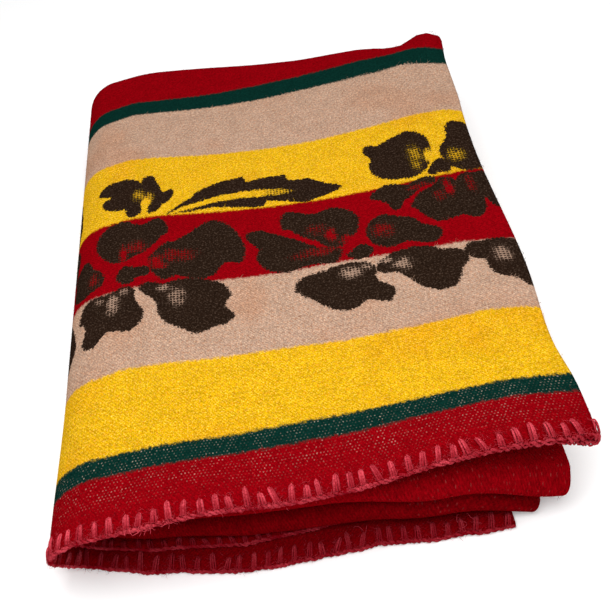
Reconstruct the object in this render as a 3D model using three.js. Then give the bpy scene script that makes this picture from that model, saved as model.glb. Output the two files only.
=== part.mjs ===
import * as THREE from 'three';

// A throw blanket of thick felted wool, folded three times and laid down flat.
// The cloth is halved across its width, its length is then laid back and forth in four runs,
// and the strip is halved once more, which makes the round fold along the left side.
// Millimetres, +Z up. The cut ends lie at the front, -Y, and the last fold is at -X.

// Cloth
const THICKNESS = 3.0;
const PITCH = 4.3;
const HEART = 2.0;
const HALF = 8 * PITCH + HEART;

// Plan of the stack
const FOLD_X = -145;
const FOLD_BULGE = 33;
const FOLD_STEP = 16;
const UPPER_END = 184;
const LOWER_END = 136;
const FRONT_Y = -252;
const BACK_Y = 240;
const NOSE_Y = -234;
const NOSE_BACK = 8;
const INNER_Y = 234;
const TAIL_Y = -212;
const RECESS_RUN = 37;

// The four runs of the length, from the stitched end at the front to the one inside.
// Level is the run's place below the outside, in layers; flip turns its faces over.
const RUNS = [
  { from: FRONT_Y, to: BACK_Y, level: 1, flip: 1 },
  { from: BACK_Y, to: NOSE_Y, level: 7, flip: -1 },
  { from: NOSE_Y, to: INNER_Y, level: 5, flip: 1 },
  { from: INNER_Y, to: TAIL_Y, level: 3, flip: -1 },
];

// How far the right end of each layer stands past the end line of its half of the stack.
const ENDS = [
  { level: 0, upper: 0, lower: 0 },
  { level: 2, upper: 0, lower: 8 },
  { level: 3, upper: -8, lower: 10 },
  { level: 5, upper: -13, lower: 14 },
  { level: 8, upper: -15, lower: 22 },
];

// How far the cut end of the inner strip lies behind that of the outer one.
const RECESS = [
  { x: FOLD_X, upper: 14, lower: 14 },
  { x: 0, upper: 21, lower: 20 },
  { x: 114, upper: 22, lower: 28 },
  { x: UPPER_END, upper: 0, lower: 32 },
];

// How far the back fold is drawn in, and how far the foot of the stack stands forward at the front.
const DRIFT = [
  { x: -190, back: 15, foot: -9.5 },
  { x: -145, back: 9, foot: -3 },
  { x: -100, back: -2.5, foot: 1 },
  { x: -50, back: 1.5, foot: 10.5 },
  { x: 0, back: 8, foot: 10 },
  { x: 45, back: 12, foot: 8 },
  { x: 80, back: 11.5, foot: 11.5 },
  { x: 108, back: 11.5, foot: 12 },
  { x: 134, back: 22, foot: 14.5 },
  { x: 160, back: 17.5, foot: 17 },
  { x: 190, back: 25, foot: 20 },
];

// Lines across the cloth that every layer shares, so that the layers stay apart.
const X_LINES = [-100, -50, 0, 45, 80, 108, 134, 160];
const Y_LINES = [-234, -215, -190, -130, -60, 20, 100, 165, 212];
const SIDE_STEPS = 8;
const EDGE_STEPS = 4;
const BACK_STEPS = 8;
const NOSE_STEPS = 5;

// How the stack has settled
const RISE = { middle: 1.077, right: 0.163, cup: 0.112, back: -0.024, corner: 0.1, tip: -0.13, mouth: -0.14 };
const SKEW = { right: -2.6, backRight: -10 };
const CORNER_TURN = { left: 7, right: 4 };
const SAG = { drop: 9, forward: 4, lap: 6 };
const SWELL = { front: 5, back: -2 };
const WAIST = { depth: 8, y: 55, span: 120 };
const HOLLOW = { depth: 4.5, y: -165, span: 50 };
const NIP = { depth: 6, y: 130, run: 110 };
const FLARE = 7;
const LIFT = 4;
const DROOP = 28;
const HALF_X = 190;
const HALF_Y = 255;

function smooth(t) {
  const c = THREE.MathUtils.clamp(t, 0, 1);
  return c * c * (3 - 2 * c);
}

function hump(distance, span) {
  return Math.exp(-((distance / span) ** 2));
}

function between(table, key, at, half) {
  const next = Math.max(1, table.findIndex((row) => row[key] >= at));
  const a = table[next - 1];
  const b = table[next];
  return THREE.MathUtils.mapLinear(at, a[key], b[key], a[half], b[half]);
}

// Stations from the lower right end, round the left fold, to the upper right end.
function stripStations() {
  const inner = X_LINES.filter((x) => x < LOWER_END - 4);
  const lower = [LOWER_END, ...inner.reverse(), FOLD_X].map((x) => ({ x, bend: 0 }));
  const upper = [FOLD_X, ...X_LINES, UPPER_END].map((x) => ({ x, bend: Math.PI }));
  const side = [];
  for (let k = 1; k < SIDE_STEPS; k += 1) {
    side.push({ x: FOLD_X, bend: (Math.PI * k) / SIDE_STEPS });
  }
  return [...lower, ...side, ...upper];
}

// One strip, the close fold at the right, and the same strip back again beneath it.
function columns() {
  const strip = stripStations();
  const close = [];
  for (let k = 1; k < EDGE_STEPS; k += 1) {
    close.push({ x: UPPER_END, bend: Math.PI, turn: (Math.PI * k) / EDGE_STEPS });
  }
  const over = strip.map((station) => ({ ...station, turn: 0 }));
  const under = strip.map((station) => ({ ...station, turn: Math.PI })).reverse();
  return [...over, ...close, ...under];
}

// Stations along the length: every run, and the turn that leads to the next run.
function rows() {
  const list = [];
  RUNS.forEach((run, index) => {
    const low = Math.min(run.from, run.to) + 3;
    const high = Math.max(run.from, run.to) - 3;
    const lines = Y_LINES.filter((y) => y > low && y < high);
    const ordered = run.to > run.from ? lines : lines.reverse();
    [run.from, ...ordered, run.to].forEach((y) => list.push({ index, y, angle: 0 }));
    const steps = index === 0 ? BACK_STEPS : NOSE_STEPS;
    for (let k = 1; k < steps && index < RUNS.length - 1; k += 1) {
      list.push({ index, y: run.to, angle: (Math.PI * k) / steps });
    }
  });
  return list;
}

// Place of a layer in the length's own section: y, and its depth below the outside.
function alongLength(row, offset) {
  const run = RUNS[row.index];
  if (row.angle === 0) {
    return { y: row.y, depth: run.level * PITCH + run.flip * offset };
  }
  const next = RUNS[row.index + 1];
  const radius = ((run.level - next.level) / 2) * PITCH + run.flip * offset;
  const bulge = Math.sign(run.to - run.from) * Math.abs(radius);
  const middle = ((run.level + next.level) / 2) * PITCH;
  return { y: row.y + bulge * Math.sin(row.angle), depth: middle + radius * Math.cos(row.angle) };
}

// The stack is higher to the right, its lower half lies forward and its back corners are drawn in.
// At the front it sags where the last run ends, and the free right end of the upper half hangs
// down over the shorter lower half.
function settle(point) {
  const { x, y, z } = point;
  const right = x / HALF_X;
  const back = y / HALF_Y;
  const tall = z / (2 * HALF);
  const rear = smooth((y - 60) / 190);
  const front = smooth((-200 - y) / 45);
  const low = (1 - smooth(tall)) * smooth((60 - y) / 300);
  const high = smooth((tall - 0.76) / 0.12);
  const loose = smooth((tall - 0.1) / 0.15);

  const plane = RISE.middle + RISE.right * right + RISE.cup * right ** 2 + RISE.back * back;
  const corner = RISE.corner * smooth((x - 110) / 60) * smooth((y - 150) / 80);
  const tip = RISE.tip * smooth((x - 130) / 60) * smooth((-190 - y) / 60);
  const mouth = RISE.mouth * smooth((-60 - x) / 110) * smooth((-100 - y) / 150);
  const droop = DROOP * smooth((x - 100) / 70) * (1 - Math.abs(1 - 2 * tall));
  const free = front * smooth((x + 150) / 50);
  const hold = high * (1 - smooth((x + 75) / 70) + 0.45 * smooth((x - 40) / 90));
  const sag = SAG.drop * free * loose * (1 - hold);

  const slide = between(DRIFT, 'x', x, 'foot') * low;
  const drawn = between(DRIFT, 'x', x, 'back') * rear;
  const lift = LIFT * smooth((x - 20) / 70) * smooth((-190 - y) / 50) * smooth((tall - 0.6) / 0.2);
  const skew = SKEW.right * right + SKEW.backRight * right * back;
  const pushed = SAG.forward * loose + SAG.lap * smooth((tall - 0.42) / 0.1);
  const lap = free * (1 - high) * smooth((x - 10) / 80) * pushed;
  const turnedRight = CORNER_TURN.right * smooth((x - 118) / 22) * (1 - smooth(tall / 0.12));
  const turnedLeft = CORNER_TURN.left * smooth((-105 - x) / 50) * (1 - smooth(tall / 0.6));

  const narrow = WAIST.depth * hump(y - WAIST.y, WAIST.span) + HOLLOW.depth * hump(y - HOLLOW.y, HOLLOW.span);
  const nip = NIP.depth * smooth((y - NIP.y) / NIP.run);
  const waist = (narrow + nip) * smooth((x - 60) / 120);
  const flare = FLARE * smooth((x - 90) / 90) * smooth((-170 - y) / 80);
  const swell = (SWELL.front * smooth((-120 - y) / 130) + SWELL.back) * smooth((-60 - x) / 90);

  point.x = x - waist + flare - swell;
  point.y = y - slide - drawn + lift + skew - lap + front * (turnedRight + turnedLeft);
  point.z = z * (plane + corner + tip + mouth) - droop - sag;
  return point;
}

function place(column, row, side) {
  const half = PITCH / 2;
  const { x, bend, turn } = column;
  const part = bend === 0 ? 'lower' : 'upper';
  const { y, depth } = alongLength(row, -(half + side) * Math.cos(turn));
  const layer = alongLength(row, -half * Math.cos(turn)).depth;
  const nearEnd = row.index === 0 ? Math.max(0, 1 - (row.y - FRONT_Y) / RECESS_RUN) : 0;
  const recess = between(RECESS, 'x', x, part) * smooth(turn / Math.PI) * nearEnd;
  const deep = smooth((layer / PITCH - 4) / 0.4) * smooth((-100 - y) / 130);
  const noseBack = NOSE_BACK * (1 - smooth((x + 110) / 190)) * deep;
  const inset = FOLD_STEP * smooth((layer - PITCH) / (1.5 * PITCH));
  const past = inset * (1 - smooth((x - FOLD_X) / 140));
  const round = (FOLD_BULGE * (HALF - depth)) / HALF;
  const free = bend === 0 ? (x - 60) / (LOWER_END - 60) : (x - UPPER_END + 75) / 75;
  const ends = between(ENDS, 'level', layer / PITCH, part) * smooth(free);
  const reach = (half + side) * Math.sin(turn);
  return settle(new THREE.Vector3(
    x + past + ends + reach - round * Math.sin(bend),
    y + recess + noseBack,
    HALF - (HALF - depth) * Math.cos(bend) - (PITCH - THICKNESS) / 2,
  ));
}

// The flat cloth, cut into the stations above and carried to its folded place.
function foldedCloth() {
  const across = columns();
  const along = rows();
  const wide = across.length - 1;
  const long = along.length - 1;
  const geometry = new THREE.BoxGeometry(wide, THICKNESS, long, wide, 1, long);
  const position = geometry.getAttribute('position');
  for (let k = 0; k < position.count; k += 1) {
    const column = across[Math.round(position.getX(k) + wide / 2)];
    const row = along[Math.round(position.getZ(k) + long / 2)];
    const point = place(column, row, -position.getY(k));
    position.setXYZ(k, point.x, point.y, point.z);
  }
  geometry.computeVertexNormals();
  geometry.computeBoundingBox();
  const { min, max } = geometry.boundingBox;
  geometry.translate(-(min.x + max.x) / 2, -(min.y + max.y) / 2, -min.z);
  return geometry;
}

const wool = new THREE.MeshStandardMaterial({ color: 0xa01420, roughness: 0.95, metalness: 0 });
const cloth = new THREE.Mesh(foldedCloth(), wool);
cloth.name = 'throw_cloth';

const blanket = new THREE.Group();
blanket.name = 'throw_blanket';
blanket.add(cloth);

export default blanket;
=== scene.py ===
import math
import bpy
import numpy as np
from mathutils import Matrix, Vector


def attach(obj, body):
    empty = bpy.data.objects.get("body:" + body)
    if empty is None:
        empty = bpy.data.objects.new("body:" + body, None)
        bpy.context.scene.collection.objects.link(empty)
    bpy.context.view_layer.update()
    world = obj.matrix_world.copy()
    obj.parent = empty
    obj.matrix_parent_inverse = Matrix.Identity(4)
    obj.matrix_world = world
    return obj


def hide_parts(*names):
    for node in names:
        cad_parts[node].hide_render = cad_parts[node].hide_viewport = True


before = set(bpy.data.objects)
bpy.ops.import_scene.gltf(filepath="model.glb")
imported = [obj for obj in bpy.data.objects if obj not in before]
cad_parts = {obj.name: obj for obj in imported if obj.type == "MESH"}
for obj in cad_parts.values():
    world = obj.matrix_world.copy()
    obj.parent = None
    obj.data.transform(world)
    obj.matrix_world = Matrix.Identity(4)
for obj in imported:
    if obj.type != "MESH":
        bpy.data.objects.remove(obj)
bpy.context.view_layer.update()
bpy.ops.object.select_all(action="DESELECT")

# The cloth: one length of thick wool, woven in stripes with a band of flowers, felted and brushed.
# It is halved across its width, laid back and forth in four runs and halved again.
# The flat cloth is a grid; fold() carries a point of it, in millimetres, to its place in the stack.
# PITCH is the room each layer takes, and HEART the slack left in the middle of the stack.
THICKNESS, PITCH, HEART = 3.0, 4.3, 2.0
HALF = 8 * PITCH + HEART
FOLD_X, FOLD_BULGE, FOLD_STEP = -145.0, 33.0, 16.0
UPPER_END, LOWER_END = 184.0, 136.0
FRONT_Y, BACK_Y, NOSE_Y, INNER_Y, TAIL_Y = -252.0, 240.0, -234.0, 234.0, -212.0
# Each run along the length: where it starts and stops, its level in the half stack, and which face is up.
RUNS = [(FRONT_Y, BACK_Y, 1, 1), (BACK_Y, NOSE_Y, 7, -1), (NOSE_Y, INNER_Y, 5, 1), (INNER_Y, TAIL_Y, 3, -1)]
# Level of a layer, and how far its right end lies past its run, in the upper and the lower half.
LAYER_ENDS = np.array([(0, 0, 0), (2, 0, 8), (3, -8, 10), (5, -13, 14), (8, -15, 22)], float)
# Place from left to right, and how far the inner cut end lies back, in the upper and the lower half.
# RECESS_RUN is the length of cloth that takes up the slack.
RECESS_RUN = 37.0
RECESS = np.array([(FOLD_X, 14, 14), (0, 21, 20), (114, 22, 28), (UPPER_END, 0, 32)], float)
# Place from left to right, how far the back is drawn in, and how far the lower front slides forward.
DRIFT = np.array([
    (-190, 15, -9.5), (-160, 12, -5), (-145, 8.5, -3), (-130, 3.5, -2), (-115, -0.5, 0),
    (-100, -1.5, 1), (-75, -0.5, 6), (-50, 1.5, 10.5), (0, 8, 10), (45, 12, 8),
    (80, 11.5, 11.5), (108, 12, 12), (121, 15, 13), (134, 21.5, 14.5), (147, 24.5, 16),
    (155, 22, 16.5), (162, 16, 17), (172, 13.5, 18), (180, 17, 19), (190, 32, 20),
])
# Middle of the settled stack, which the frame has at its origin.
STACK_CENTRE = np.array([7.005, -0.239, 0.0])
# Distance along the cloth at which each run and each fold between them starts.
MARKS = [0.0]
for k, (start, stop, level, flip) in enumerate(RUNS):
    MARKS.append(MARKS[-1] + abs(stop - start))
    if k < 3:
        MARKS.append(MARKS[-1] + math.pi * abs(RUNS[k + 1][2] - level) / 2 * PITCH)
CUT_LENGTH = MARKS[-1]
LOWER_RUN = LOWER_END - FOLD_X
SIDE_ARC = math.pi * math.sqrt((FOLD_BULGE ** 2 + HALF ** 2) / 2)
STRIP = LOWER_RUN + SIDE_ARC + UPPER_END - FOLD_X
CUT_WIDTH = 2 * STRIP + math.pi * PITCH / 2
TOP_U = LOWER_RUN + SIDE_ARC - FOLD_X


def smooth(t):
    t = np.clip(t, 0, 1)
    return t * t * (3 - 2 * t)


def ramp(place, start, span):
    return smooth((place - start) / span)


def hump(distance, span):
    return np.exp(-((distance / span) ** 2))


def along_length(v, offset):
    y = np.zeros_like(v)
    depth = np.zeros_like(v)
    for k, (start, stop, level, flip) in enumerate(RUNS):
        begin, end = MARKS[2 * k], MARKS[2 * k + 1]
        way = math.copysign(1, stop - start)
        on = (v <= end) if k == 0 else (v >= begin) if k == 3 else (v >= begin) & (v <= end)
        y = np.where(on, start + way * (v - begin), y)
        depth = np.where(on, level * PITCH + flip * offset, depth)
        if k < 3:
            after = RUNS[k + 1][2]
            on = (v > end) & (v < MARKS[2 * k + 2])
            angle = math.pi * (v - end) / (MARKS[2 * k + 2] - end)
            radius = (level - after) / 2 * PITCH + flip * offset
            y = np.where(on, stop + way * np.abs(radius) * np.sin(angle), y)
            depth = np.where(on, (level + after) / 2 * PITCH + radius * np.cos(angle), depth)
    return y, depth


# How the stack has settled. A rise or fall is a share of the height, and the rest are millimetres.
HALF_X, HALF_Y = 190, 255
RISE_MIDDLE, RISE_RIGHT, RISE_CUP, RISE_CORNER = 1.077, 0.163, 0.112, 0.112
FALL_BACK, FALL_TIP, FALL_MOUTH = 0.024, 0.13, 0.14
DROOP, SAG, SAG_HELD, LIFT, LAP, LAP_FOLD = 28, 9, 0.45, 4, 4, 6
TURN_RIGHT, TURN_LEFT, SKEW_RIGHT, SKEW_CORNER = 4, 7, 2.6, 10
WAIST, HOLLOW, NIP, NIP_EASE, FLARE = 8, 4.5, 6, 3.5, 7
SWELL_FRONT, SWELL_LESS = 5, 2


def settle(x, y, z):
    right, back, tall = x / HALF_X, y / HALF_Y, z / (2 * HALF)
    rear, front = ramp(y, 60, 190), ramp(y, -200, -45)
    low = (1 - smooth(tall)) * ramp(y, 60, -300)
    high, loose = ramp(tall, 0.76, 0.12), ramp(tall, 0.1, 0.15)

    rise = RISE_MIDDLE + RISE_RIGHT * right + RISE_CUP * right ** 2 - FALL_BACK * back
    rise = rise + RISE_CORNER * ramp(x, 110, 60) * ramp(y, 150, 80)
    rise = rise - FALL_TIP * ramp(x, 130, 60) * ramp(y, -190, -60)
    rise = rise - FALL_MOUTH * ramp(x, -60, -110) * ramp(y, -100, -150)
    droop = DROOP * ramp(x, 100, 70) * (1 - np.abs(1 - 2 * tall))
    free = front * ramp(x, -150, 50)
    hold = high * (1 - ramp(x, -75, 70) + SAG_HELD * ramp(x, 40, 90))
    sag = SAG * free * loose * (1 - hold)

    slide = np.interp(x, DRIFT[:, 0], DRIFT[:, 2]) * low
    drawn = np.interp(x, DRIFT[:, 0], DRIFT[:, 1]) * rear
    lift = LIFT * ramp(x, 20, 70) * ramp(y, -190, -50) * ramp(tall, 0.6, 0.2)
    lap = free * (1 - high) * ramp(x, 10, 80) * (LAP * loose + LAP_FOLD * ramp(tall, 0.42, 0.1))
    turned = TURN_RIGHT * ramp(x, 118, 22) * (1 - smooth(tall / 0.12))
    turned = turned + TURN_LEFT * ramp(x, -105, -50) * (1 - smooth(tall / 0.6))
    askew = -SKEW_RIGHT * right - SKEW_CORNER * right * back

    narrow = WAIST * hump(y - 55, 120) + HOLLOW * hump(y + 165, 50) + NIP * ramp(y, 130, 110)
    narrow = narrow - NIP_EASE * ramp(y, 200, 45)
    waist = narrow * ramp(x, 60, 120)
    flare = FLARE * ramp(x, 90, 90) * ramp(y, -170, -80)
    swell = (SWELL_FRONT * ramp(y, -120, -130) - SWELL_LESS) * ramp(x, -60, -90)
    return np.stack([
        x - waist + flare - swell,
        y - slide - drawn + lift + askew - lap + front * turned,
        z * rise - droop - sag,
    ], -1)


# The inner front folds lie back at the left, the round fold is stepped in below its outer layers,
# and the right ends move out over the last stretch of their runs.
NOSE_BACK, STEP_RUN, UPPER_END_RUN, LOWER_END_FROM = 8, 140, 75, 60


def fold(u, v, n):
    u, v, n = np.broadcast_arrays(np.asarray(u, float), np.asarray(v, float), np.asarray(n, float))
    half = PITCH / 2
    turn = np.clip((u - STRIP) / half, 0, math.pi)
    strip = np.where(u < STRIP, u, np.where(turn < math.pi, STRIP, CUT_WIDTH - u))
    bend = np.clip((strip - LOWER_RUN) / SIDE_ARC, 0, 1) * math.pi
    x = np.where(bend <= 0, LOWER_END - strip, np.where(bend >= math.pi, strip - TOP_U, FOLD_X))
    y, depth = along_length(v, -(half + n) * np.cos(turn))
    layer = along_length(v, -half * np.cos(turn))[1] / PITCH
    held_back = np.interp(x, RECESS[:, 0], RECESS[:, 1])
    held_back = np.where(bend <= 0, np.interp(x, RECESS[:, 0], RECESS[:, 2]), held_back)
    y = y + held_back * smooth(turn / math.pi) * np.clip(1 - v / RECESS_RUN, 0, 1)
    y = y + NOSE_BACK * (1 - ramp(x, -110, 190)) * ramp(layer, 4, 0.4) * ramp(y, -100, -130)
    past = FOLD_STEP * ramp(layer, 1, 1.5) * (1 - ramp(x, FOLD_X, STEP_RUN))
    upper_end = np.interp(layer, LAYER_ENDS[:, 0], LAYER_ENDS[:, 1])
    upper_end = upper_end * smooth((x - UPPER_END + UPPER_END_RUN) / UPPER_END_RUN)
    lower_end = np.interp(layer, LAYER_ENDS[:, 0], LAYER_ENDS[:, 2])
    lower_end = lower_end * ramp(x, LOWER_END_FROM, LOWER_END - LOWER_END_FROM)
    round_x = FOLD_BULGE * (HALF - depth) / HALF * np.sin(bend)
    x = x + past + np.where(bend <= 0, lower_end, upper_end) + (half + n) * np.sin(turn) - round_x
    z = HALF - (HALF - depth) * np.cos(bend) - (PITCH - THICKNESS) / 2
    return (settle(x, y, z) - STACK_CENTRE) / 1000


# Handling has pulled the weave askew, so the stripe edges bow over the top of the stack.
# A row for each stripe edge, by its distance from the cut end; the columns are places from left to right.
# Where the back edge is drawn in, the stripes stay behind, and past BOW_END the weave runs straight.
BOW_END, BOW_FADE = 570, 100
BOW_X = [-185, -145, -125, -100, -50, 0, 45, 108, 147, 172, 186]
BOW = {
    0: (-4, 0, 0, 0, -1, -1, -2, -2, -2, -3, -4),
    48: (-3, 2, 2, 2, -1, -1, -2, -2, -2, -5, -8),
    120: (-5, 1, 6, 6, 2, 0, -4, -4, -2, -6, -12),
    198: (-1, 4, 9, 7, 2, -2, -1, -5, -6, -11, -14),
    279: (-5, 2, 7, 7, 1, -4, -7, -6, -4, -4, -6),
    360: (-10, -1, 6, 4, -3, -7, -7, -1, 5, 4, -5),
    439: (-30, -18, -9, -10, -12, -10, -5, 0, -1, -5, -12),
    470: (-36, -23, -15, -17, -15, -9, -5, 4, 3, -6, -14),
    BOW_END: (0,) * len(BOW_X),
}


def woven_place(u, v):
    strip_x = np.minimum(u, CUT_WIDTH - u) - TOP_U
    pull = np.interp(strip_x, DRIFT[:, 0], DRIFT[:, 1]) * ramp(FRONT_Y + v, 60, 190)
    pull = pull * np.clip((BOW_END - v) / BOW_FADE, 0, 1)
    for k, row in enumerate(BOW.values()):
        share = np.interp(v, list(BOW), np.eye(len(BOW))[k])
        pull = pull + share * np.interp(strip_x, BOW_X, row)
    return np.stack([u, v - pull * ramp(strip_x, -330, 100)], -1) / 1000


# Rows of the grid: across the cloth for the lower run, side fold, upper run and closed edge,
# and along it for each run and fold in turn.
LOWER_ROWS, SIDE_ROWS, UPPER_ROWS, CLOSED_ROWS = 28, 21, 38, 7
LENGTH_ROWS = (62, 19, 42, 11, 38, 11, 36)
strip_cuts = np.concatenate([
    np.linspace(0, LOWER_RUN, LOWER_ROWS)[:-1],
    LOWER_RUN + np.linspace(0, SIDE_ARC, SIDE_ROWS)[:-1],
    np.linspace(LOWER_RUN + SIDE_ARC, STRIP, UPPER_ROWS),
])
close_cuts = STRIP + PITCH / 2 * np.linspace(0, math.pi, CLOSED_ROWS)[1:-1]
cut_u = np.concatenate([strip_cuts, close_cuts, CUT_WIDTH - strip_cuts[::-1]])
cut_v = np.concatenate([
    np.linspace(MARKS[k], MARKS[k + 1], count)[:-1]
    for k, count in enumerate(LENGTH_ROWS)
] + [[CUT_LENGTH]])
bpy.ops.mesh.primitive_grid_add(x_subdivisions=len(cut_u) - 1, y_subdivisions=len(cut_v) - 1, size=1)
cloth = bpy.context.object
cloth.name = "throw_cloth_sheet"
grid_place = np.empty(len(cloth.data.vertices) * 3)
cloth.data.vertices.foreach_get("co", grid_place)
grid_place = grid_place.reshape(-1, 3)
u_at = cut_u[np.rint((grid_place[:, 0] + 0.5) * (len(cut_u) - 1)).astype(int)]
v_at = cut_v[np.rint((grid_place[:, 1] + 0.5) * (len(cut_v) - 1)).astype(int)]
cloth.data.vertices.foreach_set("co", fold(u_at, v_at, 0.0).ravel())
corner_vertex = np.empty(len(cloth.data.loops), int)
cloth.data.loops.foreach_get("vertex_index", corner_vertex)
cloth.data.uv_layers[0].data.foreach_set("uv", woven_place(u_at, v_at)[corner_vertex].ravel())
cloth.data.update()
solid = cloth.modifiers.new("thickness", "SOLIDIFY")
solid.thickness = THICKNESS / 1000
solid.offset = 0
bpy.ops.object.modifier_apply(modifier=solid.name)
bpy.ops.object.shade_smooth()

# The wool's own material. The functions below add nodes to the material that nodes and links belong to.
wool = bpy.data.materials.new("felted_wool")
wool.use_nodes = True
nodes, links = wool.node_tree.nodes, wool.node_tree.links
shader = nodes["Principled BSDF"]


def put(socket, value):
    if isinstance(value, bpy.types.NodeSocket):
        links.new(value, socket)
    else:
        socket.default_value = value


def calc(operation, *values):
    node = nodes.new("ShaderNodeMath")
    node.operation = operation
    for socket, value in zip(node.inputs, values):
        put(socket, value)
    return node.outputs[0]


def remap(value, low, high, to_low=0.0, to_high=1.0):
    node = nodes.new("ShaderNodeMapRange")
    node.interpolation_type = "SMOOTHSTEP"
    for socket, number in zip(node.inputs, (value, low, high, to_low, to_high)):
        put(socket, number)
    return node.outputs[0]


def blend(factor, under, over, mode="MIX"):
    node = nodes.new("ShaderNodeMix")
    node.data_type = "RGBA"
    node.blend_type = mode
    put(node.inputs["Factor"], factor)
    put(node.inputs[6], under)
    put(node.inputs[7], over)
    return node.outputs[2]


def noise(scale, detail=2.0, rough=0.5):
    node = nodes.new("ShaderNodeTexNoise")
    links.new(flat, node.inputs["Vector"])
    node.inputs["Scale"].default_value = scale
    node.inputs["Detail"].default_value = detail
    node.inputs["Roughness"].default_value = rough
    return node


def parted(colour):
    node = nodes.new("ShaderNodeSeparateColor")
    links.new(colour, node.inputs[0])
    return node.outputs


def curve_node(value, marks, handle="AUTO"):
    node = nodes.new("ShaderNodeFloatCurve")
    curve = node.mapping.curves[0]
    while len(curve.points) < len(marks):
        curve.points.new(0.5, 0.5)
    for point, mark in zip(curve.points, sorted(marks)):
        point.location = mark
        point.handle_type = handle
    node.mapping.update()
    links.new(value, node.inputs["Value"])
    return node.outputs[0]


def away_from(across, along):
    node = nodes.new("ShaderNodeCombineXYZ")
    put(node.inputs[0], across)
    put(node.inputs[1], along)
    length = nodes.new("ShaderNodeVectorMath")
    length.operation = "LENGTH"
    links.new(node.outputs[0], length.inputs[0])
    return length.outputs["Value"]


# The felted grain, which the cloth and its yarn share.
felted_grain = bpy.data.node_groups.new("felted_grain", "ShaderNodeTree")
felted_grain.interface.new_socket("Vector", in_out="INPUT", socket_type="NodeSocketVector")
felted_grain.interface.new_socket("Scale", in_out="INPUT", socket_type="NodeSocketFloat")
felted_grain.interface.new_socket("Grain", in_out="OUTPUT", socket_type="NodeSocketFloat")
grain_in = felted_grain.nodes.new("NodeGroupInput")
grain_out = felted_grain.nodes.new("NodeGroupOutput")
fibres = felted_grain.nodes.new("ShaderNodeTexNoise")
fibres.inputs["Detail"].default_value = 3.0
fibres.inputs["Roughness"].default_value = 0.7
felted_grain.links.new(grain_in.outputs["Vector"], fibres.inputs["Vector"])
felted_grain.links.new(grain_in.outputs["Scale"], fibres.inputs["Scale"])
felted_grain.links.new(fibres.outputs[0], grain_out.inputs["Grain"])


def place_grain(scale):
    node = nodes.new("ShaderNodeGroup")
    node.node_tree = felted_grain
    links.new(flat, node.inputs["Vector"])
    node.inputs["Scale"].default_value = scale
    return node.outputs["Grain"]


# Woven measures in millimetres, with the wander that felting gives to every edge of colour.
FUZZ, RAGGED = 6.0, 3.0
flat = nodes.new("ShaderNodeUVMap").outputs[0]
split = nodes.new("ShaderNodeSeparateXYZ")
links.new(flat, split.inputs[0])
u_mm = calc("MULTIPLY", split.outputs[0], 1000.0)
v_mm = calc("MULTIPLY", split.outputs[1], 1000.0)
from_end = calc("MINIMUM", v_mm, calc("SUBTRACT", CUT_LENGTH, v_mm))
grain = place_grain(900.0)
fuzz = noise(520.0, 2.0, 0.6)
ragged = noise(110.0, 2.0, 0.6)
fuzz_part, ragged_part = parted(fuzz.outputs[1]), parted(ragged.outputs[1])
line_v = calc("ADD", from_end, calc("MULTIPLY_ADD", fuzz_part[1], FUZZ, -FUZZ / 2))
weave_u = calc("ADD", u_mm, calc("MULTIPLY_ADD", fuzz_part[0], FUZZ, -FUZZ / 2))
weave_u = calc("ADD", weave_u, calc("MULTIPLY_ADD", ragged_part[0], RAGGED, -RAGGED / 2))
weave_v = calc("ADD", line_v, calc("MULTIPLY_ADD", ragged_part[1], RAGGED, -RAGGED / 2))

# The stripes: where each one starts from the cut end, and its dyed wool, up to the middle of the cloth.
RED, GREEN, YELLOW = (0.238, 0.0008, 0.0035, 1), (0.0025, 0.024, 0.018, 1), (0.7, 0.402, 0.0025, 1)
BEIGE, BROWN = (0.455, 0.295, 0.213, 1), (0.017, 0.0085, 0.005, 1)
STRIPES = [
    (40, GREEN), (55, YELLOW), (120, BEIGE), (197, RED), (278, YELLOW), (359, BEIGE), (438, GREEN),
    (462, RED), (590, GREEN), (612, BEIGE), (690, YELLOW), (765, BEIGE), (842, GREEN), (862, RED),
    (955, GREEN),
]
STRIPE_BLUR = 1.4
ground = RED
for start, colour in STRIPES:
    ground = blend(remap(line_v, start - STRIPE_BLUR, start + STRIPE_BLUR), ground, colour)

# The flower band, charted on the flat cloth: along the stripes from the middle of the top,
# and away from the cut end. Each petal has a middle and the few points that its outline needs.
# The band repeats across the width of the cloth.
REPEAT = 372.0
LEFT_BLOSSOM = [
    ((-122, 253), [(-90, 262), (-98, 275), (-114, 269), (-134, 277), (-147, 271), (-154, 255),
                   (-146, 238), (-134, 228), (-116, 234), (-98, 250)]),
    ((-65, 231), [(-28, 217), (-30, 246), (-38, 260), (-48, 267), (-60, 264), (-78, 250), (-92, 245),
                  (-108, 227), (-97, 204), (-82, 206), (-54, 203), (-45, 214), (-36, 215)]),
    ((-70, 174), [(-115, 197), (-92, 199), (-60, 200), (-46, 193), (-40, 182), (-45, 170), (-39, 157),
                  (-56, 149), (-68, 145), (-82, 152), (-94, 159), (-100, 177), (-112, 191)]),
    ((-138, 176), [(-120, 197), (-118, 185), (-111, 170), (-116, 158), (-140, 158), (-151, 148),
                   (-160, 152), (-159, 168), (-166, 180), (-164, 190), (-140, 197)]),
    ((-162, 221), [(-146, 210), (-154, 230), (-164, 243), (-174, 240), (-179, 222), (-172, 204),
                   (-156, 204)]),
    ((-121, 211), [(-106, 216), (-117, 208), (-126, 202), (-134, 210), (-131, 220), (-118, 220)]),
]
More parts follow.
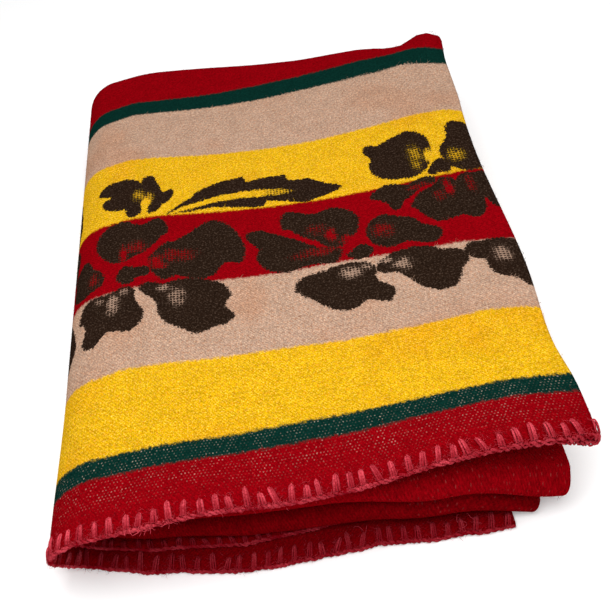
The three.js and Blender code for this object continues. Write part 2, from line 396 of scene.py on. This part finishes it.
MIDDLE_BLOSSOM = [
    ((40, 246), [(5, 252), (8, 265), (18, 267), (36, 261), (50, 265), (64, 257), (70, 244), (66, 230),
                 (50, 215), (30, 228), (14, 243)]),
    ((3, 218), [(-24, 246), (-18, 249), (2, 242), (14, 234), (34, 218), (52, 210), (48, 200), (25, 200),
                (0, 198), (-12, 205), (-15, 227)]),
    ((103, 222), [(73, 224), (77, 236), (88, 244), (104, 239), (120, 226), (135, 212), (130, 204),
                  (105, 208), (90, 205), (79, 210)]),
    ((66, 205), [(54, 204), (61, 210), (70, 213), (76, 204), (72, 199), (58, 199)]),
    ((48, 172), [(10, 177), (18, 188), (40, 192), (62, 194), (74, 188), (74, 174), (86, 159), (82, 150),
                 (64, 154), (42, 148), (32, 154), (14, 171)]),
    ((112, 178), [(75, 184), (86, 196), (108, 201), (128, 194), (148, 182), (140, 166), (132, 152),
                  (120, 150), (104, 160), (97, 170), (80, 178)]),
]
RIGHT_BLOSSOM = [
    ((116, 312), [(88, 333), (102, 331), (120, 338), (136, 339), (150, 322), (149, 306), (140, 289),
                  (130, 283), (112, 284), (94, 293), (89, 302), (92, 314)]),
    ((176, 312), [(157, 302), (165, 320), (168, 334), (180, 342), (194, 318), (194, 290), (184, 278),
                  (164, 285)]),
    ((106, 266), [(83, 268), (96, 257), (104, 247), (112, 256), (128, 267), (146, 275), (116, 275),
                  (90, 276)]),
    ((146, 245), [(117, 248), (122, 257), (140, 268), (154, 275), (164, 266), (177, 236), (168, 224),
                  (154, 228), (134, 225), (123, 238)]),
    ((181, 257), [(163, 271), (178, 244), (188, 231), (196, 248), (194, 270), (180, 275)]),
    ((151, 287), [(141, 283), (146, 293), (153, 298), (161, 282), (150, 281)]),
    ((176, 174), [(148, 192), (162, 196), (184, 196), (192, 186), (192, 145), (184, 143), (178, 151),
                  (167, 155), (160, 174)]),
]
CURLED_BUD = [
    ((-131, 312), [(-155, 321), (-148, 330), (-134, 332), (-111, 316), (-115, 296), (-117, 282),
                   (-125, 280), (-130, 292), (-150, 304), (-143, 313)]),
    ((-99, 305), [(-114, 320), (-109, 333), (-100, 322), (-95, 309), (-86, 312), (-88, 299), (-95, 292),
                  (-102, 283), (-108, 283), (-106, 298), (-113, 312)]),
]


# Room above the longest reach on a petal's curve, and how soft its edge is, as shares of the reach.
PETAL_ROOM, PETAL_BLUR = 1.05, 0.045


def petal(middle, outline):
    du = calc("WRAP", calc("SUBTRACT", weave_u, TOP_U + middle[0]), REPEAT / 2, -REPEAT / 2)
    dv = calc("SUBTRACT", weave_v, middle[1])
    marks = []
    for x, v in outline:
        angle = math.atan2(v - middle[1], x - middle[0]) / math.tau + 0.5
        marks.append((angle, math.hypot(x - middle[0], v - middle[1])))
    marks.sort()
    reach = PETAL_ROOM * max(radius for _, radius in marks)
    gap = marks[0][0] + 1 - marks[-1][0]
    seam = marks[-1][1] + (marks[0][1] - marks[-1][1]) * (1 - marks[-1][0]) / gap
    marks = [(angle, radius / reach) for angle, radius in [(0.0, seam), *marks, (1.0, seam)]]
    outline_reach = curve_node(calc("MULTIPLY_ADD", calc("ARCTAN2", dv, du), 1 / math.tau, 0.5), marks)
    share = calc("DIVIDE", away_from(du, dv), calc("MULTIPLY", outline_reach, reach))
    return remap(share, 1 - PETAL_BLUR, 1 + PETAL_BLUR, 1.0, 0.0)


density = 0.0
for row in LEFT_BLOSSOM + MIDDLE_BLOSSOM + RIGHT_BLOSSOM + CURLED_BUD:
    density = calc("MAXIMUM", density, petal(*row))

# The long toothed leaf between the blossoms, with its pale rib.
LEAF_START, LEAF_LENGTH, LEAF_BASE, LEAF_HEIGHT = -92.0, 154.0, 270.0, 60.0
LEAF_TOP = [
    (-92, 280), (-77, 294), (-70, 299), (-65, 306), (-50, 316), (-22, 323), (-20, 314), (-8, 318),
    (15, 318), (17, 310), (34, 309), (48, 299), (62, 292),
]
LEAF_FOOT = [
    (-92, 278), (-50, 284), (-20, 280), (-6, 280), (-4, 286), (10, 283), (28, 278), (48, 283), (62, 290),
]
RIB_TOP = [(-92, 279), (-75, 289), (-45, 299), (-20, 302), (0, 302), (18, 298), (28, 294), (62, 288)]
RIB_FOOT = [(-92, 277), (-70, 284), (-50, 291), (-25, 293), (5, 292), (28, 294), (62, 290)]
leaf_u = calc("WRAP", calc("SUBTRACT", weave_u, TOP_U + LEAF_START), REPEAT * 0.7, -REPEAT * 0.3)
leaf_run = calc("MULTIPLY", leaf_u, 1 / LEAF_LENGTH)
on_leaf = calc("COMPARE", leaf_run, 0.5, 0.5)
leaf_lines = []
for line in (LEAF_TOP, LEAF_FOOT, RIB_TOP, RIB_FOOT):
    marks = [((x - LEAF_START) / LEAF_LENGTH, (v - LEAF_BASE) / LEAF_HEIGHT) for x, v in line]
    height = calc("MULTIPLY_ADD", curve_node(leaf_run, marks, "VECTOR"), LEAF_HEIGHT, LEAF_BASE)
    leaf_lines.append(calc("SUBTRACT", weave_v, height))
blade = calc("MULTIPLY", remap(leaf_lines[0], -0.7, 0.7, 1.0, 0.0), remap(leaf_lines[1], -0.7, 0.7))
rib = calc("MULTIPLY", remap(leaf_lines[2], -1.6, 1.0, 1.0, 0.0), remap(leaf_lines[3], -1.0, 1.6))
rib_fade = calc("MULTIPLY", remap(leaf_u, 80.0, 94.0, 1.0, 0.55), remap(leaf_u, 100.0, 120.0, 1.0, 0.0))
rib = calc("MULTIPLY", rib, rib_fade)
blade = calc("MULTIPLY", calc("MULTIPLY", blade, on_leaf), calc("SUBTRACT", 1.0, rib))
density = calc("MAXIMUM", density, blade)

# Near the heart of each blossom the ground shows through the dark weft as a loose lattice.
# Each row: middle x and v, half width, half height, how far it opens.
LATTICE_U, LATTICE_V = 1.35, 1.2
OPENINGS = [
    (-129, 237, 5, 14, 1.2), (-118, 243, 17, 11, 0.6), (-84, 229, 27, 11, 0.62), (-103, 224, 10, 8, 1.0),
    (-84, 184, 11, 15, 0.62), (-95, 194, 7, 6, 0.75), (-136, 185, 8, 15, 0.66), (-147, 191, 8, 5, 0.5),
    (-127, 194, 6, 6, 0.65), (-154, 217, 9, 12, 0.55), (45, 231, 6, 13, 1.2), (58, 222, 10, 8, 1.1),
    (34, 240, 14, 10, 0.55), (30, 213, 27, 9, 0.62), (87, 226, 15, 13, 0.62), (55, 184, 13, 11, 0.62),
    (68, 188, 6, 6, 0.7), (96, 185, 13, 11, 0.62), (84, 191, 8, 5, 0.72), (173, 180, 10, 15, 0.6),
    (133, 306, 10, 23, 0.54), (146, 303, 6, 12, 1.2), (169, 299, 12, 12, 0.55), (153, 263, 6, 16, 1.1),
    (144, 254, 9, 10, 0.55), (128, 270, 15, 6, 0.7), (172, 262, 6, 16, 0.6), (-117, 307, 9, 11, 0.62),
    (-107, 302, 6, 12, 0.62), (-98, 219, 11, 5, 1.05),
]
openness = 0.0
for x, v, half_width, half_height, opens in OPENINGS:
    du = calc("WRAP", calc("SUBTRACT", weave_u, TOP_U + x), REPEAT / 2, -REPEAT / 2)
    dv = calc("SUBTRACT", weave_v, v)
    apart = away_from(calc("MULTIPLY", du, 1 / half_width), calc("MULTIPLY", dv, 1 / half_height))
    openness = calc("MAXIMUM", openness, remap(apart, 0.0, 1.15, opens, 0.0))
openness = calc("MULTIPLY", openness, remap(ragged_part[2], 0.35, 0.62, 0.5, 1.0))
inside = calc("MULTIPLY", density, remap(openness, 0.5, 0.75, 0.32, 0.08))
density = calc("MULTIPLY", density, calc("SUBTRACT", 1.0, openness))
lattice_u = calc("MULTIPLY", calc("PINGPONG", u_mm, LATTICE_U), 1 / LATTICE_U)
lattice_v = calc("MULTIPLY", calc("PINGPONG", v_mm, LATTICE_V), 1 / LATTICE_V)
lattice = calc("SUBTRACT", 1.0, calc("MINIMUM", lattice_u, lattice_v))
lattice = calc("ADD", calc("MULTIPLY", lattice, 0.75), calc("MULTIPLY_ADD", fuzz_part[2], 0.9, -0.4))
motif = remap(calc("SUBTRACT", density, calc("MINIMUM", lattice, 0.8)), -0.2, 0.2)
motif = calc("MAXIMUM", calc("MULTIPLY", motif, remap(density, 0.05, 0.2)), inside)
colour = blend(motif, ground, BROWN)

# Pale binding threads peep through in staggered rows near the cut ends and on the inner turns.
PALE_THREAD = (0.74, 0.58, 0.47, 1)
DOT_U, DOT_V, DOT_WANDER = 2.4, 2.0, 1.6
dot_v = calc("ADD", v_mm, calc("MULTIPLY_ADD", fuzz_part[2], DOT_WANDER, -DOT_WANDER / 2))
dot_v = calc("DIVIDE", dot_v, DOT_V)
dot_row = calc("FLOOR", dot_v)
dot_u = calc("ADD", u_mm, calc("MULTIPLY_ADD", fuzz_part[0], DOT_WANDER, -DOT_WANDER / 2))
dot_u = calc("ADD", calc("DIVIDE", dot_u, DOT_U), calc("MULTIPLY", dot_row, 0.5))
aside_u = calc("MULTIPLY_ADD", calc("FRACT", dot_u), DOT_U, -DOT_U / 2)
aside_v = calc("MULTIPLY_ADD", calc("FRACT", dot_v), DOT_V, -DOT_V / 2)
dot_far = away_from(aside_u, aside_v)
dot_cell = nodes.new("ShaderNodeCombineXYZ")
links.new(calc("FLOOR", dot_u), dot_cell.inputs[0])
links.new(dot_row, dot_cell.inputs[1])
dot_chance = nodes.new("ShaderNodeTexWhiteNoise")
links.new(dot_cell.outputs[0], dot_chance.inputs["Vector"])
peep = calc("MULTIPLY", remap(from_end, 11.0, 32.0), remap(from_end, 53.0, 56.0, 1.0, 0.0))
peep = calc("MULTIPLY", peep, calc("LESS_THAN", u_mm, STRIP))
turned_in = remap(v_mm, MARKS[3] - 30, MARKS[3] - 10)
turned_in = calc("MULTIPLY", turned_in, remap(v_mm, MARKS[4] + 5, MARKS[4] + 25, 1.0, 0.0))
lower_right = remap(u_mm, LOWER_END - 90, LOWER_END - 20, 1.0, 0.0)
right_end = calc("MAXIMUM", remap(u_mm, TOP_U + 30, TOP_U + 90), lower_right)
right_end = calc("MULTIPLY", right_end, calc("LESS_THAN", u_mm, STRIP))
stray = calc("MULTIPLY", remap(dot_chance.outputs[0], 0.5, 0.95), 0.17)
peep = calc("MAXIMUM", peep, calc("MULTIPLY", calc("MULTIPLY", turned_in, right_end), stray))
patchy = remap(noise(60.0).outputs[0], 0.35, 0.65, 0.35, 1.0)
dot = calc("MULTIPLY", remap(dot_far, 0.2, 0.6, 1.0, 0.0), calc("POWER", dot_chance.outputs[0], 1.8))
dot = calc("MULTIPLY", calc("MULTIPLY", dot, peep), patchy)
dot = calc("MULTIPLY", dot, remap(from_end, 38.0, 42.0, 0.42, 0.46))
colour = blend(dot, colour, PALE_THREAD)

# Painted shade: the under half's front fold and lower cut end are darkened towards near black.
SHADE_RED, NOSE_SHADE, END_SHADE = (0.01, 0.0, 0.0, 1), 0.34, 0.2
under_half = remap(u_mm, LOWER_RUN - 10, LOWER_RUN + 40, 1.0, 0.0)
painted_nose_shade = calc("MULTIPLY", turned_in, calc("MULTIPLY", under_half, NOSE_SHADE))
painted_end_shade = calc("MULTIPLY", remap(v_mm, 30.0, 70.0, 1.0, 0.0), calc("MULTIPLY", under_half, END_SHADE))
colour = blend(calc("MAXIMUM", painted_nose_shade, painted_end_shade), colour, SHADE_RED)

# Flecks in the dyed wool: paler fibres in the dark motifs, warm and straw ones in the light stripes.
# The twill, the grain and a soft cloudiness shade all of it.
PALE_FIBRE, STRAW_FIBRE, WARM_TINT = (0.068, 0.043, 0.03, 1), (0.9, 0.74, 0.42, 1), (0.94, 0.66, 0.5, 1)
TWILL, TWILL_DEPTH = 2.6, 0.1
flecks = calc("MULTIPLY", motif, remap(noise(640.0, 2.0, 0.6).outputs[0], 0.5, 0.68, 0.0, 0.75))
colour = blend(flecks, colour, PALE_FIBRE)
pale = remap(parted(colour)[1], 0.15, 0.3)
warm = blend(1.0, colour, WARM_TINT, "MULTIPLY")
colour = blend(calc("MULTIPLY", pale, remap(fuzz_part[2], 0.46, 0.7, 0.0, 0.7)), colour, warm)
warm_cloud = remap(noise(14.0).outputs[0], 0.5, 0.72, 0.0, 0.45)
colour = blend(calc("MULTIPLY", pale, warm_cloud), colour, warm)
colour = blend(calc("MULTIPLY", pale, remap(grain, 0.52, 0.7, 0.0, 0.25)), colour, STRAW_FIBRE)
twill = calc("SINE", calc("MULTIPLY", calc("ADD", u_mm, v_mm), math.tau / TWILL))
shade = remap(grain, 0.3, 0.7, 0.72, 1.24)
shade = calc("MULTIPLY", shade, remap(noise(420.0).outputs[0], 0.32, 0.68, 0.82, 1.12))
shade = calc("MULTIPLY", shade, remap(noise(70.0).outputs[0], 0.3, 0.7, 0.94, 1.05))
shade = calc("MULTIPLY", shade, calc("MULTIPLY_ADD", twill, TWILL_DEPTH, 1.0))
tone = nodes.new("ShaderNodeCombineXYZ")
for socket in tone.inputs:
    links.new(shade, socket)
colour = blend(1.0, colour, tone.outputs[0], "MULTIPLY")
links.new(colour, shader.inputs["Base Color"])
bump = nodes.new("ShaderNodeBump")
bump.inputs["Strength"].default_value = 0.8
bump.inputs["Distance"].default_value = 0.0012
links.new(calc("ADD", grain, fuzz.outputs[0]), bump.inputs["Height"])
links.new(bump.outputs[0], shader.inputs["Normal"])
shader.inputs["Roughness"].default_value = 1.0
shader.inputs["Specular IOR Level"].default_value = 0.0
cloth.data.materials.append(wool)
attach(cloth, "root")
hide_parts("throw_cloth")

# The whipped ends: thick wool yarn worked in blanket stitch over both cut ends of the cloth.
# Each stitch bites about 12 mm into the cloth on both faces; its strands part a little towards the edge,
# where the yarn runs on from stitch to stitch as a two-ply purl.
STITCH, BITE = 9.8, 12.0
OUTER_STEPS, INNER_STEPS = 8, 5
LEG_SIDES, PURL_SIDES, LOOSE_SIDES, HAIR_SIDES = 5, 6, 4, 3
PURL_STEP, PLY_TURN = 1.2, 8.4
SHADED_FROM, FLOOR_CLEAR = STRIP - LOWER_RUN - 20, 0.0002
rng = np.random.default_rng(11)
yarn_points, yarn_faces, yarn_paleness = [], [], []


# Tubes of yarn along paths, with how pale the yarn is at each step: painted shade and painted highlights,
# with random tone.
def spin(paths, outward, radius, sides, paleness):
    forward = np.gradient(paths, axis=1)
    forward /= np.linalg.norm(forward, axis=2, keepdims=True)
    outward = outward - (outward * forward).sum(2, keepdims=True) * forward
    outward /= np.linalg.norm(outward, axis=2, keepdims=True)
    across = np.cross(forward, outward)
    angle = np.linspace(0, math.tau, sides, endpoint=False)[None, None, :, None]
    ring = np.cos(angle) * outward[:, :, None] + np.sin(angle) * across[:, :, None]
    points = paths[:, :, None] + ring * radius[..., None, None] / 1000
    points[..., 2] = np.maximum(points[..., 2], FLOOR_CLEAR)
    count, steps = paths.shape[:2]
    start = sum(len(made) for made in yarn_points)
    index = start + np.arange(count * steps * sides).reshape(count, steps, sides)
    after = np.roll(index, -1, axis=2)
    quads = np.stack([index[:, :-1], after[:, :-1], after[:, 1:], index[:, 1:]], -1)
    yarn_points.append(points.reshape(-1, 3))
    yarn_faces.append(quads.reshape(-1, 4))
    yarn_paleness.append(np.repeat(np.broadcast_to(paleness, (count, steps)).ravel(), sides))


for edge_v, inward in ((0.0, 1.0), (CUT_LENGTH, -1.0)):
    stitches = np.arange(STITCH / 2, CUT_WIDTH, STITCH)
    stitches = stitches + rng.normal(0, 0.9, len(stitches))
    t = np.linspace(0, 1, OUTER_STEPS if inward > 0 else INNER_STEPS)[None, :]
    for face in (1.0, -1.0):
        bite = BITE + rng.normal(0, 1.6, (len(stitches), 1))
        lean = rng.normal(-1.0, 1.4, (len(stitches), 1))
        spread = rng.uniform(0.0, 0.6, (len(stitches), 1))
        bright = rng.uniform(0.6, 1.0, (len(stitches), 1))
        # Stitches on the under half of the stack are drawn thinner and get painted shade, a darker map
        # value.
        shaded = np.where(np.abs(stitches - CUT_WIDTH / 2) > SHADED_FROM, 0.45, 1.0)[:, None]
        for strand in (-1.0, 0.0, 1.0):
            aside = strand * (1.15 + spread * (1 - t) ** 1.3) + rng.normal(0, 0.15, (len(stitches), 1))
            u = stitches[:, None] + aside * (1 - 0.35 * t ** 5) + lean * t
            v = edge_v + inward * ((bite - 0.5 * abs(strand)) * t + 0.4)
            height = 0.2 + 0.7 * np.sin(math.pi * t ** 1.2) - 1.1 * ramp(t, 0.84, 0.16)
            n = face * (THICKNESS / 2 + height) + face * 0.35 * (1 - abs(strand))
            path = fold(u, v, n)
            outward = fold(u, v, n + face * 0.3) - path
            radius = (0.5 + 0.5 * shaded) * rng.uniform(0.75, 1.1, (len(stitches), 1))
            radius = radius * (0.9 + 0.15 * t - 0.4 * t ** 6)
            streak = rng.uniform(0.45, 1.4, (len(stitches), 1))
            # Each leg is darker by the edge and paler towards its inner end, with random streaks: painted
            # highlights, with random tone.
            painted_light_and_tone = shaded * bright * streak * (0.25 + 0.6 * smooth(t / 0.8))
            spin(path, outward, radius, LEG_SIDES, painted_light_and_tone)
    u = np.arange(0.5, CUT_WIDTH, PURL_STEP)[None, :]
    loose = 0.5 * np.sin(u / 3.7 + 2 * np.sin(u / 19)) + 0.5 * np.sin(u / 8.3 + 1)
    knot = np.exp(-((((u - STITCH / 2) / STITCH + 0.5) % 1 - 0.5) * STITCH / 2.2) ** 2)
    # Purl on the under half gets painted shade, a darker map value; its loose bumps are paler, a painted
    # highlight, with random tone.
    shaded = np.where(np.abs(u - CUT_WIDTH / 2) > SHADED_FROM, 0.5, 1.0)
    for ply in (0.0, math.pi):
        swing = math.tau * u / PLY_TURN + ply + 1.6 * np.sin(u / 13.0) + 1.1 * np.sin(u / 5.1)
        v = edge_v - inward * (0.2 + 0.5 * loose - 0.7 * np.cos(swing) - 0.5 * knot)
        n = 1.2 * np.sin(swing) + 0.35 * loose
        path = fold(u, v, n)
        outward = fold(u, v - inward * 0.3, n) - path
        thick = 0.9 + 0.25 * np.sin(u / 4.3 + ply) + 0.3 * knot + rng.normal(0, 0.12, u.shape)
        painted_light_and_tone = shaded * (0.3 + 0.3 * loose + rng.normal(0, 0.12, u.shape))
        spin(path, outward, thick, PURL_SIDES, painted_light_and_tone)

# Loose ends and teased wool at the left mouth of the stack, along the upper cut end and on the lower one.
# Each row: place across the cloth, distance from the cut end, height, bearing in degrees, length, hairs.
LOOSE_ENDS = [
    (TOP_U - 117, 0.5, 1.2, -110, 5, 7), (TOP_U - 108, 0.5, 0.8, -85, 6, 8),
    (TOP_U - 104, 0.0, 0.0, -70, 5, 7), (TOP_U - 92, 0.0, 1.5, -75, 5, 6),
    (TOP_U - 20, 0.5, 1.5, -95, 4, 4), (TOP_U + 92, 0.5, 1.5, -110, 4, 4),
    (LOWER_END - 33, 8.0, -2.1, 185, 9, 2), (LOWER_END - 103, 8.0, -2.6, 60, 6, 2),
    (LOWER_END - 111, 9.5, -2.6, 20, 6, 2),
]
for at_u, at_v, at_n, bearing, reach, hairs in LOOSE_ENDS:
    for hair in range(hairs):
        t = np.linspace(0, 1, 10)[None, :]
        turn = math.radians(bearing + rng.normal(0, 26)) + rng.normal(0, 1.6) * t
        u = at_u + rng.normal(0, 1.3) + reach * t * np.cos(turn)
        v = at_v + reach * t * np.sin(turn) + 0.5 * np.sin(9 * t + hair)
        n = at_n + rng.normal(0, 0.6) + 1.0 * np.sin(5 * t + hair)
        path = fold(u, v, n)
        outward = fold(u, v, n + 0.3) - path
        spin(path, outward, 0.3 - 0.15 * t, LOOSE_SIDES, 0.5 + 0.08 * hair)

# The yarn is loosely spun, so short hairs stand off its legs and its purl on the edge that shows.
YARN_HAIRS = 2800
t = np.linspace(0, 1, 3)[None, :]
root_u = rng.uniform(0, STRIP, (YARN_HAIRS, 1))
on_leg = rng.random((YARN_HAIRS, 1)) < 0.6
leg_u = (np.floor(root_u / STITCH) + 0.5) * STITCH + rng.normal(0, 1.6, (YARN_HAIRS, 1))
root_v = np.where(on_leg, rng.uniform(0, BITE, (YARN_HAIRS, 1)), rng.normal(0, 1.2, (YARN_HAIRS, 1)))
face = np.where(root_u < LOWER_RUN, -1.0, 1.0)
lie = rng.uniform(0, math.tau, (YARN_HAIRS, 1)) + rng.normal(0, 0.7, (YARN_HAIRS, 1)) * t
reach = rng.uniform(1.5, 4.0, (YARN_HAIRS, 1)) * t
u = np.where(on_leg, leg_u, root_u) + reach * np.cos(lie)
v = root_v + reach * np.sin(lie)
n = face * (THICKNESS / 2 + 0.8 + rng.uniform(-0.2, 0.9, (YARN_HAIRS, 1)) * t)
path = fold(u, v, n)
outward = fold(u, v, n + face * 0.3) - path
# Hairs on the under half get painted shade, a darker map value, with random tone.
painted_light_and_tone = np.where(root_u < LOWER_RUN + 20, 0.45, 1.0) * rng.uniform(0.4, 1.2, (YARN_HAIRS, 1))
spin(path, outward, 0.11 - 0.06 * t, HAIR_SIDES, painted_light_and_tone)
yarn_mesh = bpy.data.meshes.new("blanket_stitch")
yarn_mesh.from_pydata(np.concatenate(yarn_points).tolist(), [], np.concatenate(yarn_faces).tolist())
yarn_mesh.shade_smooth()
yarn_corner = np.concatenate(yarn_faces).ravel()
yarn_uv = np.stack([np.concatenate(yarn_paleness)[yarn_corner], np.zeros(len(yarn_corner))], -1)
yarn_mesh.uv_layers.new(name="UVMap").data.foreach_set("uv", yarn_uv.ravel())
stitching = bpy.data.objects.new("blanket_stitch", yarn_mesh)
bpy.context.collection.objects.link(stitching)

# The yarn's material: red, and paler pink where its map and a strand noise say so. This paints streaky
# highlights and the shade of the under half, with random tone.
YARN_RED, YARN_PALE = (0.21, 0.002, 0.007, 1), (0.67, 0.072, 0.098, 1)
yarn = bpy.data.materials.new("stitch_yarn")
yarn.use_nodes = True
nodes, links = yarn.node_tree.nodes, yarn.node_tree.links
shader = nodes["Principled BSDF"]
flat = nodes.new("ShaderNodeTexCoord").outputs["Object"]
strand_noise = place_grain(900.0)
paleness_map = nodes.new("ShaderNodeSeparateXYZ")
links.new(nodes.new("ShaderNodeUVMap").outputs[0], paleness_map.inputs[0])
paler = calc("MULTIPLY", paleness_map.outputs[0], remap(strand_noise, 0.32, 0.64, 0.2, 1.4))
tint = blend(paler, YARN_RED, YARN_PALE)
links.new(tint, shader.inputs["Base Color"])
bump = nodes.new("ShaderNodeBump")
bump.inputs["Strength"].default_value = 0.6
bump.inputs["Distance"].default_value = 0.0006
links.new(strand_noise, bump.inputs["Height"])
links.new(bump.outputs[0], shader.inputs["Normal"])
shader.inputs["Roughness"].default_value = 0.9
shader.inputs["Specular IOR Level"].default_value = 0.0
stitching.data.materials.append(yarn)
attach(stitching, "root")

# The brushed nap: short loose fibres that stand off the outer faces of the cloth.
# Each one takes the colour of the cloth it grows from, through the woven place kept in its own map.
NAP_COUNT, FRONT_SHARE = 30000, 0.06
# Share of the fibre's length, height as a share of its stand, and half width.
NAP_STEPS = ((0.0, -0.2, 0.09), (0.5, 0.65, 0.07), (1.0, 1.0, 0.02))
root_u = rng.uniform(0, STRIP + 3, NAP_COUNT)
root_v = rng.uniform(0, MARKS[2], NAP_COUNT)
noses = rng.random(NAP_COUNT) < FRONT_SHARE
root_v = np.where(noses, rng.uniform(MARKS[3] - 14, MARKS[4] + 6, NAP_COUNT), root_v)
lie = rng.uniform(0, math.tau, NAP_COUNT)
length = rng.uniform(1.5, 4.5, NAP_COUNT)
stand = rng.uniform(0.2, 1.2, NAP_COUNT)
curl = rng.normal(0, 0.8, NAP_COUNT)
nap_points = []
for share, height, width in NAP_STEPS:
    turn = lie + curl * share
    u = root_u + length * share * np.cos(turn)
    v = root_v + length * share * np.sin(turn)
    n = THICKNESS / 2 + stand * height
    side = np.stack([-np.sin(turn), np.cos(turn)], -1) * width
    nap_points.append(fold(u - side[:, 0], v - side[:, 1], n))
    nap_points.append(fold(u + side[:, 0], v + side[:, 1], n))
nap_points = np.concatenate(nap_points)
nap_points[:, 2] = np.maximum(nap_points[:, 2], FLOOR_CLEAR)
nap_index = np.arange(NAP_COUNT * 6).reshape(6, NAP_COUNT).T
nap_faces = np.concatenate([nap_index[:, [0, 1, 3, 2]], nap_index[:, [2, 3, 5, 4]]])
nap_mesh = bpy.data.meshes.new("brushed_nap")
nap_mesh.from_pydata(nap_points.tolist(), [], nap_faces.tolist())
nap_uv = woven_place(root_u, root_v)[nap_faces.ravel() % NAP_COUNT]
nap_mesh.uv_layers.new(name="UVMap").data.foreach_set("uv", nap_uv.ravel())
nap = bpy.data.objects.new("brushed_nap", nap_mesh)
bpy.context.collection.objects.link(nap)
nap.data.materials.append(wool)
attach(nap, "root")

# The studio: a plain white floor that glows a little, a wide soft light overhead,
# even light all round, and the camera.
bpy.ops.mesh.primitive_plane_add(size=8, location=(0, 0, -0.0005))
floor = bpy.context.object
floor.name = "floor"
paper = bpy.data.materials.new("white_paper")
paper.use_nodes = True
shader = paper.node_tree.nodes["Principled BSDF"]
shader.inputs["Base Color"].default_value = (0.93, 0.93, 0.93, 1)
shader.inputs["Roughness"].default_value = 0.9
shader.inputs["Emission Color"].default_value = (1, 1, 1, 1)
shader.inputs["Emission Strength"].default_value = 0.12
floor.data.materials.append(paper)
bpy.ops.object.light_add(type="AREA", location=(-0.02, -0.2, 0.8))
key = bpy.context.object
key.data.size = 0.7
key.data.energy = 6.5
key.rotation_euler = (Vector((0, 0, 0)) - key.location).to_track_quat("-Z", "Y").to_euler()
world = bpy.data.worlds.new("studio")
world.use_nodes = True
world.node_tree.nodes["Background"].inputs["Color"].default_value = (1, 1, 1, 1)
world.node_tree.nodes["Background"].inputs["Strength"].default_value = 0.65
bpy.context.scene.world = world
bpy.context.scene.view_settings.view_transform = "Standard"

LOOK_AT, DISTANCE = Vector((0.009255, -0.060721, 0.04)), 0.7146
elevation, yaw, roll = math.radians(49.1), math.radians(-0.7), math.radians(-7.37)
ground_share = math.cos(elevation)
away = Vector((math.sin(yaw) * ground_share, -math.cos(yaw) * ground_share, math.sin(elevation)))
level_right = Vector((math.cos(yaw), math.sin(yaw), 0))
level_up = away.cross(level_right)
right = level_right * math.cos(roll) + level_up * math.sin(roll)
up = level_up * math.cos(roll) - level_right * math.sin(roll)
place = LOOK_AT + away * DISTANCE
camera_data = bpy.data.cameras.new("camera")
camera_data.sensor_width = 36
camera_data.lens = 51.42
camera = bpy.data.objects.new("camera", camera_data)
bpy.context.collection.objects.link(camera)
camera.matrix_world = Matrix((
    (right.x, up.x, away.x, place.x),
    (right.y, up.y, away.y, place.y),
    (right.z, up.z, away.z, place.z),
    (0, 0, 0, 1),
))
bpy.context.scene.camera = camera
